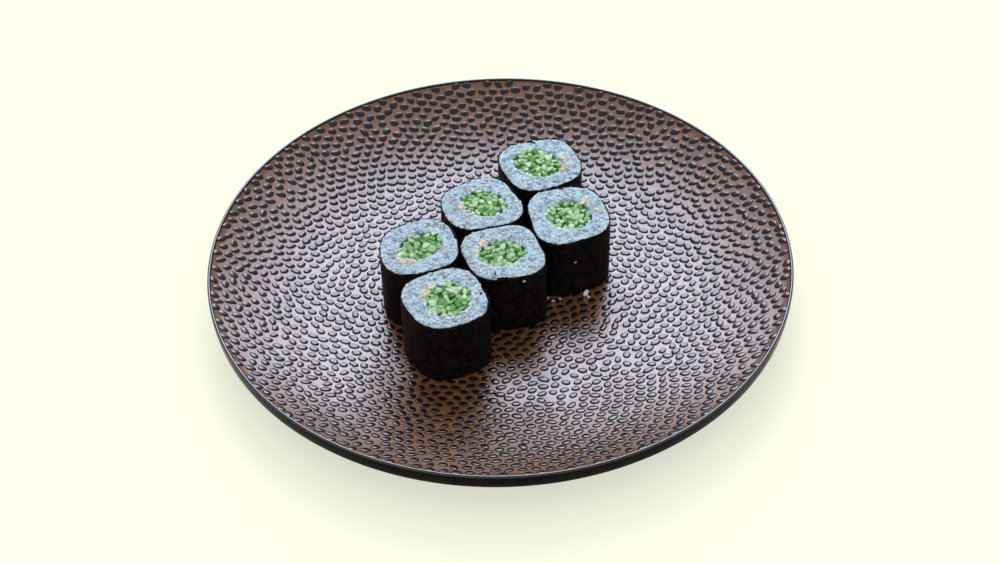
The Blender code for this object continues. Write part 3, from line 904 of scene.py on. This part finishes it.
class MAKI_OT_make_cucumber(bpy.types.Operator):
    """Bundle cucumber strips through the middle of each roll"""

    bl_idname = "maki.make_cucumber"
    bl_label = "Make the cucumber"

    def execute(self, context):
        looks = context.scene.maki_rolls
        surface = cut_cucumber(looks)
        for number, roll in enumerate(ROLLS):
            mesh = cucumber_core(roll, number)
            add_piece(mesh.name, mesh, [surface], [f"cucumber_{roll.name}"])
        draw = np.random.default_rng(37)
        places = np.concatenate([
            lay_strips(roll, looks.strip_pitch, draw) + np.array(roll.place) for roll in ROLLS
        ])
        count = len(places)
        sides = 9
        strip = [(0.0, -1.0), (1.0, -1.0), (1.0, -0.1), (0.9, -0.02), (0.5, 0.0), (0.0, 0.02)]
        mesh = copies_of(turned(strip, sides), "cucumber_strips", count)
        local = points_of(mesh).reshape(count, -1, 3)
        angle = np.arctan2(local[..., 1], local[..., 0])
        # Each strip has its own ragged section, the same from end to end
        side = np.rint(angle / math.tau * sides).astype(int) % sides
        ragged = np.take_along_axis(draw.uniform(0.72, 1.18, (count, sides)), side, 1)
        across = local[..., 0] * ragged * draw.uniform(1.0, 1.9, (count, 1)) * MM
        aslant = local[..., 1] * ragged * draw.uniform(0.8, 1.4, (count, 1)) * MM
        turn = draw.uniform(0.0, math.tau, (count, 1))
        x = across * np.cos(turn) - aslant * np.sin(turn)
        y = across * np.sin(turn) + aslant * np.cos(turn)
        slope = draw.normal(0.0, 0.25, (count, 1, 2))
        lean = draw.normal(0.0, 0.2, (count, 1, 2))
        strip_length = 3.2 * MM
        depth = local[..., 2] * strip_length
        points = np.empty_like(local)
        points[..., 0] = places[:, :1] + x + lean[..., 0] * depth
        points[..., 1] = places[:, 1:] + y + lean[..., 1] * depth
        near_top = local[..., 2] > -0.5
        level = ROLL_TOP + draw.uniform(-1.1, 0.1, (count, 1)) * MM
        points[..., 2] = level + depth + near_top * (slope[..., 0] * x + slope[..., 1] * y)
        move_points(mesh, points)
        keep_values(mesh, "tone", np.repeat(draw.uniform(0.0, 1.0, count), local.shape[1]))
        has_skin = draw.uniform(0.0, 1.0, (count, 1)) < 0.3
        skin = has_skin * smooth_step((local[..., 0] - 0.3) / 0.4)
        # Painted shade: each strip is painted dark green below its top, to darken the gaps between
        # strips
        painted_gap_shade = smooth_step((-0.25 - local[..., 2]) / 0.35)
        keep_values(mesh, "skin", np.maximum(skin, painted_gap_shade * 0.7))
        nodes = [f"cucumber_{roll.name}" for roll in ROLLS]
        strips = add_piece("cucumber_strips", mesh, [surface], nodes)
        strips.data.set_sharp_from_angle(angle=math.radians(38.0))
        return {"FINISHED"}


class MAKI_OT_make_sesame(bpy.types.Operator):
    """Lay a few sesame seeds between the cucumber and the rice of each roll"""

    bl_idname = "maki.make_sesame"
    bl_label = "Make the sesame"

    def execute(self, context):
        looks = context.scene.maki_rolls
        draw = np.random.default_rng(41)
        each = 6
        seed = bmesh.new()
        bmesh.ops.create_uvsphere(seed, u_segments=12, v_segments=8, radius=0.5)
        mesh = copies_of(seed, "sesame_seeds", each * len(ROLLS))
        local = points_of(mesh).reshape(len(ROLLS), each, -1, 3)
        points = np.empty_like(local)
        for number, roll in enumerate(ROLLS):
            turn = np.radians(roll.seeds_at + draw.uniform(-24.0, 24.0, each))
            out = filling_radius(roll, turn) + draw.uniform(-0.6, 1.9, each) * MM
            lean = np.radians(draw.normal(0.0, 15.0, each))
            axes = axes_of(lean, draw.uniform(0.0, math.tau, each))
            x, y, z = (local[number, ..., axis] for axis in (2, 0, 1))
            tapered = y * (1.0 - 0.5 * x)
            place = lay_along(axes, x * 2.5 * MM, tapered * 1.4 * MM, z * 0.8 * MM)
            place[..., 0] += (roll.place[0] + roll.filling.offset[0] + out * np.cos(turn))[:, None]
            place[..., 1] += (roll.place[1] + roll.filling.offset[1] + out * np.sin(turn))[:, None]
            place[..., 2] += ROLL_TOP + draw.uniform(-0.25, 0.1, each)[:, None] * MM
            points[number] = place
        move_points(mesh, points)
        tone = draw.uniform(0.0, 1.0, each * len(ROLLS))
        keep_values(mesh, "tone", np.repeat(tone, local.shape[2]))
        add_piece("sesame_seeds", mesh, [hulled_sesame(looks)])
        return {"FINISHED"}


# What fell or was brushed off, each as its place, its longest size and how far it is turned
Crumb = namedtuple("Crumb", "place size turn")


def beside(name, direction, height):
    """A place just outside a roll's nori, in a direction, at a height."""
    roll = next(roll for roll in ROLLS if roll.name == name)
    angle = math.radians(direction)
    out = float(roll_radius(roll, angle)) + 0.1 * MM
    return (roll.place[0] + out * math.cos(angle), roll.place[1] + out * math.sin(angle), height)


def on_well(x, y, size):
    """A place on the plate's well, where a crumb of that size lies."""
    return (x, y, WELL_HEIGHT + 0.2 * size)


class MAKI_OT_make_crumbs(bpy.types.Operator):
    """Leave a stray grain on the plate, and a few specks of rice on the plate and the nori"""

    bl_idname = "maki.make_crumbs"
    bl_label = "Make the crumbs"

    def execute(self, context):
        crumbs = [
            Crumb(beside("right", -82, 21.4 * MM), 1.1 * MM, 40),
            Crumb(beside("middle", -61, 28.9 * MM), 1.4 * MM, 25),
            Crumb(on_well(30.8 * MM, -7.5 * MM, 3.4 * MM), 3.4 * MM, 65),
            Crumb(on_well(18.8 * MM, -10.8 * MM, 1.6 * MM), 1.6 * MM, 10),
            Crumb(on_well(17.0 * MM, -9.2 * MM, 1.2 * MM), 1.2 * MM, 80),
            Crumb(on_well(21.4 * MM, -9.8 * MM, 1.4 * MM), 1.4 * MM, -30),
            Crumb(on_well(31.6 * MM, -9.1 * MM, 1.5 * MM), 1.5 * MM, -60),
        ]
        ball = bmesh.new()
        bmesh.ops.create_uvsphere(ball, u_segments=12, v_segments=8, radius=0.5)
        mesh = copies_of(ball, "rice_crumbs", len(crumbs))
        local = points_of(mesh).reshape(len(crumbs), -1, 3)
        points = np.empty_like(local)
        for number, crumb in enumerate(crumbs):
            turn = math.radians(crumb.turn)
            x = local[number, :, 2] * crumb.size
            y = local[number, :, 0] * crumb.size * 0.55
            z = local[number, :, 1] * crumb.size * 0.5
            points[number] = np.stack([
                crumb.place[0] + x * math.cos(turn) - y * math.sin(turn),
                crumb.place[1] + x * math.sin(turn) + y * math.cos(turn),
                crumb.place[2] + z,
            ], 1)
        move_points(mesh, points)
        keep_values(mesh, "tint", np.full(len(mesh.vertices), 1.0))
        add_piece("rice_crumbs", mesh, [bpy.data.materials["cooked_rice_grains"]])
        return {"FINISHED"}


# The stage


def add_area_light(name, place, size, power, colour):
    """A rectangular light at a place, turned to shine at the middle of the plate."""
    light = bpy.data.lights.new(name, "AREA")
    light.shape = "RECTANGLE"
    light.size, light.size_y = size
    light.energy = power
    light.color = colour
    lamp = bpy.data.objects.new(name, light)
    bpy.context.scene.collection.objects.link(lamp)
    lamp.location = place
    lamp.rotation_euler = (-Vector(place)).to_track_quat("-Z", "Y").to_euler()
    return lamp


def add_camera(looks):
    """The camera at the photograph's angle, leaning as the photograph does."""
    pitch, roll = looks.camera_pitch, looks.camera_roll
    forward = Vector((0.0, math.cos(pitch), -math.sin(pitch)))
    right = Vector((1.0, 0.0, 0.0))
    up = right.cross(forward)
    leaning_right = right * math.cos(roll) + up * math.sin(roll)
    leaning_up = up * math.cos(roll) - right * math.sin(roll)
    lens = bpy.data.cameras.new("photo_view")
    lens.lens = looks.camera_lens
    lens.sensor_width = 36.0
    camera = bpy.data.objects.new("photo_view", lens)
    bpy.context.scene.collection.objects.link(camera)
    turn = Matrix((leaning_right, leaning_up, -forward)).transposed().to_4x4()
    target = Vector((-0.0002, looks.camera_target, 0.0))
    place = target - forward * looks.camera_distance
    camera.matrix_world = Matrix.Translation(place) @ turn
    bpy.context.scene.camera = camera


def light_room(looks):
    """The room's own light. What the camera sees past the floor is as pale as the floor."""
    world = bpy.data.worlds.new("pale_room")
    world.use_nodes = True
    tree = world.node_tree
    tree.nodes.clear()
    seen = add_node(tree, "LightPath", out="Is Camera Ray")
    strength = add_node(tree, "MapRange", {"Value": seen, "To Min": looks.surround, "To Max": 1.0})
    tint = add_node(
        tree, "Mix", {0: seen, 6: looks.surround_colour, 7: looks.floor}, 2, data_type="RGBA")
    sky = add_node(tree, "Background", {"Color": tint, "Strength": strength})
    add_node(tree, "OutputWorld", {"Surface": sky})
    bpy.context.scene.world = world


class MAKI_OT_make_stage(bpy.types.Operator):
    """Lay the pale floor, and set up the light and the camera"""

    bl_idname = "maki.make_stage"
    bl_label = "Make the stage"

    def execute(self, context):
        looks = context.scene.maki_stage
        bm = bmesh.new()
        bmesh.ops.create_circle(bm, cap_ends=True, segments=96, radius=FLOOR_RADIUS)
        mesh = mesh_from(bm, "pale_floor")
        mesh.materials.append(studio_floor(looks))
        floor = bpy.data.objects.new("pale_floor", mesh)
        context.scene.collection.objects.link(floor)
        add_area_light(
            "window", place=(0.0, 1.95, 1.68), size=(1.6, 2.2),
            power=looks.window_strength, colour=(0.76, 0.82, 1.0))
        overhead = add_area_light(
            "overhead", place=(0.0, -0.5, 1.6), size=(2.6, 2.6),
            power=looks.overhead_strength, colour=(0.92, 0.97, 1.0))
        # It lifts the shadows, and leaves the glare on the glaze to the window alone
        overhead.visible_glossy = False
        light_room(looks)
        add_camera(looks)
        context.scene.view_settings.view_transform = "Standard"
        context.scene.view_settings.look = "None"
        return {"FINISHED"}


OPERATORS = (
    MAKI_OT_make_plate, MAKI_OT_make_pebbles, MAKI_OT_make_nori, MAKI_OT_make_rice,
    MAKI_OT_make_cucumber, MAKI_OT_make_sesame, MAKI_OT_make_crumbs, MAKI_OT_make_stage,
)


class MAKI_PT_pieces(bpy.types.Panel):
    """Lists the pieces and what can be changed about them"""

    bl_idname = "MAKI_PT_pieces"
    bl_label = "Maki on a plate"
    bl_space_type = "VIEW_3D"
    bl_region_type = "UI"
    bl_category = "Maki"

    def draw(self, context):
        for group in (context.scene.maki_plate, context.scene.maki_rolls, context.scene.maki_stage):
            box = self.layout.box()
            for name in type(group).__annotations__:
                box.prop(group, name)
        for operator in OPERATORS:
            self.layout.operator(operator.bl_idname)


LOOKS = {"maki_plate": PlateLooks, "maki_rolls": RollLooks, "maki_stage": StageLooks}
CLASSES = (*LOOKS.values(), *OPERATORS, MAKI_PT_pieces)


def register():
    for each in CLASSES:
        bpy.utils.register_class(each)
    for name, looks in LOOKS.items():
        setattr(bpy.types.Scene, name, bpy.props.PointerProperty(type=looks))


def unregister():
    for name in LOOKS:
        delattr(bpy.types.Scene, name)
    for each in reversed(CLASSES):
        bpy.utils.unregister_class(each)


def main():
    register()
    bpy.ops.maki.make_plate()
    bpy.ops.maki.make_pebbles()
    bpy.ops.maki.make_nori()
    bpy.ops.maki.make_rice()
    bpy.ops.maki.make_cucumber()
    bpy.ops.maki.make_sesame()
    bpy.ops.maki.make_crumbs()
    bpy.ops.maki.make_stage()


if __name__ == "__main__":
    main()
